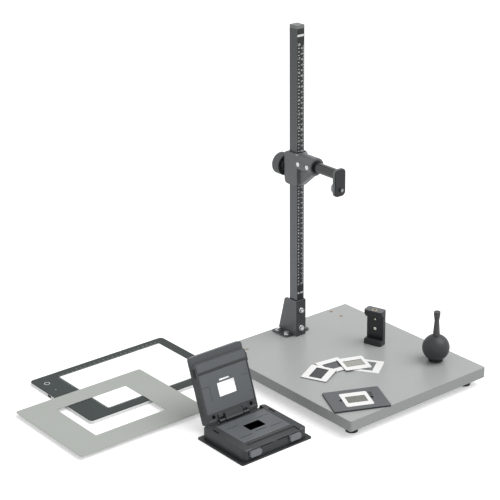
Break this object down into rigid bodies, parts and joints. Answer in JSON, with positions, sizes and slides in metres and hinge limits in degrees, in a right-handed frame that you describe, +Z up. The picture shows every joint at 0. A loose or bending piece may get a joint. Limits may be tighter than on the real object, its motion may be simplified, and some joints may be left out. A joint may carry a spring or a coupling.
{
  "type": "slide duplicator",
  "caption": "Copy stand with a sliding carriage and arm, a light pad under a masking sheet, a hinged film holder, a slide insert, loose slides, a phone clamp and a dust blower.",
  "frame": {"origin": "on the table, under the middle of the whole set's bounding box", "axes": "+X to the right and +Y to the rear, square to the baseboard, +Z up along the column"},
  "size_m": [0.717, 0.5348, 0.632],
  "materials": {
    "laminate": "satin laminate",
    "banding": "satin edge strip",
    "black_rubber": "matt",
    "bright_steel": "bright",
    "brass": "turned",
    "steel_paint": "fine-textured powder coat",
    "black_plastic": "matt",
    "dark_plastic": "satin",
    "holder_plastic": "fine-grained",
    "white_plastic": "satin",
    "bezel": "satin print on clear plastic",
    "diffuser": "opal, lit from inside",
    "light_guide": "clear",
    "sheet": "matt sheet",
    "film": "photographic film",
    "scale_film": "printed strip"
  },
  "bodies": {
    "outfit": {"baseboard": "laminate", "edge_banding": "banding", "rubber_feet": "black_rubber", "foot_screws": "bright_steel", "threaded_inserts": "brass", "column_bracket": "steel_paint", "bracket_screws": "bright_steel", "column_bolts": "bright_steel", "column_nuts": "bright_steel", "column": "steel_paint", "column_cap": "dark_plastic", "scale_strip": "scale_film", "pad_housing": "white_plastic", "pad_bezel": "bezel", "pad_diffuser": "diffuser", "pad_light_guide": "light_guide", "pad_led_strip": "light_guide", "pad_touch_key": "bezel", "pad_power_socket": "black_plastic", "pad_feet": "black_rubber", "mask_sheet": "sheet", "holder_plate": "black_plastic", "holder_base": "holder_plastic", "holder_gate": "holder_plastic", "holder_hinge_pin": "bright_steel", "slide_insert": "holder_plastic", "insert_clip": "black_plastic", "loose_slide_mounts": "white_plastic", "loose_slide_films": "film", "phone_clamp_body": "black_plastic", "phone_clamp_spring": "bright_steel", "phone_clamp_face_thread": "brass", "phone_clamp_grips": "black_rubber", "blower_bulb": "black_rubber", "blower_nozzle": "black_rubber", "blower_valve": "black_rubber"},
    "carriage": {"carriage_housing": "steel_paint", "carriage_liners": "black_plastic", "arm_collar": "black_plastic", "arm_set_screws": "bright_steel", "arm_tube": "steel_paint", "camera_plate": "steel_paint", "camera_seat_pad": "black_rubber"},
    "camera_thumbscrew": {"camera_screw": "bright_steel"},
    "shoe": {"clamp_shoe": "black_plastic"},
    "knob": {"clamp_screw": "bright_steel", "clamp_knob": "black_plastic"},
    "holder_lid": {"lid_frame": "holder_plastic", "lid_gate": "holder_plastic", "lid_catch_bar": "holder_plastic", "lid_corner_pads": "holder_plastic", "lid_side_clips": "black_plastic"},
    "button_left": {"holder_button_left": "dark_plastic"},
    "button_right": {"holder_button_right": "dark_plastic"},
    "framed_slide": {"insert_slide_mount": "white_plastic", "insert_slide_film": "film"},
    "clamp_jaw": {"phone_clamp_jaw": "black_plastic", "phone_clamp_rods": "bright_steel", "phone_clamp_top_thread": "brass"}
  },
  "joints": [
    {"name": "carriage_height", "type": "slide", "parent": "outfit", "child": "carriage", "axis": [0, 0, 1], "range_m": [-0.227, 0.225]},
    {"name": "camera_screw_turn", "type": "hinge", "parent": "carriage", "child": "camera_thumbscrew", "pos_m": [0.1945, -0.04594, 0.355], "axis": [0, -1, 0], "continuous": true},
    {"name": "clamp_advance", "type": "slide", "parent": "carriage", "child": "shoe", "axis": [0, 1, 0], "range_m": [0, 0.00187]},
    {"name": "clamp_turn", "type": "hinge", "parent": "shoe", "child": "knob", "pos_m": [0.1945, 0.07806, 0.3645], "axis": [0, 1, 0], "range_deg": [0, 540]},
    {"name": "lid_hinge", "type": "hinge", "parent": "outfit", "child": "holder_lid", "pos_m": [-0.0895, -0.09994, 0.021], "axis": [1, 0, 0], "range_deg": [0, 110]},
    {"name": "button_left_press", "type": "slide", "parent": "outfit", "child": "button_left", "axis": [0, 1, 0], "range_m": [0, 0.0025], "stiffness_N_per_m": 600, "springref_m": -0.001},
    {"name": "button_right_press", "type": "slide", "parent": "outfit", "child": "button_right", "axis": [0, 1, 0], "range_m": [0, 0.0025], "stiffness_N_per_m": 600, "springref_m": -0.001},
    {"name": "slide_lift", "type": "slide", "parent": "outfit", "child": "framed_slide", "axis": [0, 0, 1], "range_m": [0, 0.03]},
    {"name": "jaw_slide", "type": "slide", "parent": "outfit", "child": "clamp_jaw", "axis": [0, 0, 1], "range_m": [0, 0.022], "stiffness_N_per_m": 400, "springref_m": -0.02, "deforming": ["phone_clamp_spring"]}
  ],
  "couplings": [
    {"joint": "clamp_advance", "follows": "clamp_turn", "m_per_rad": 0.00019894}
  ]
}
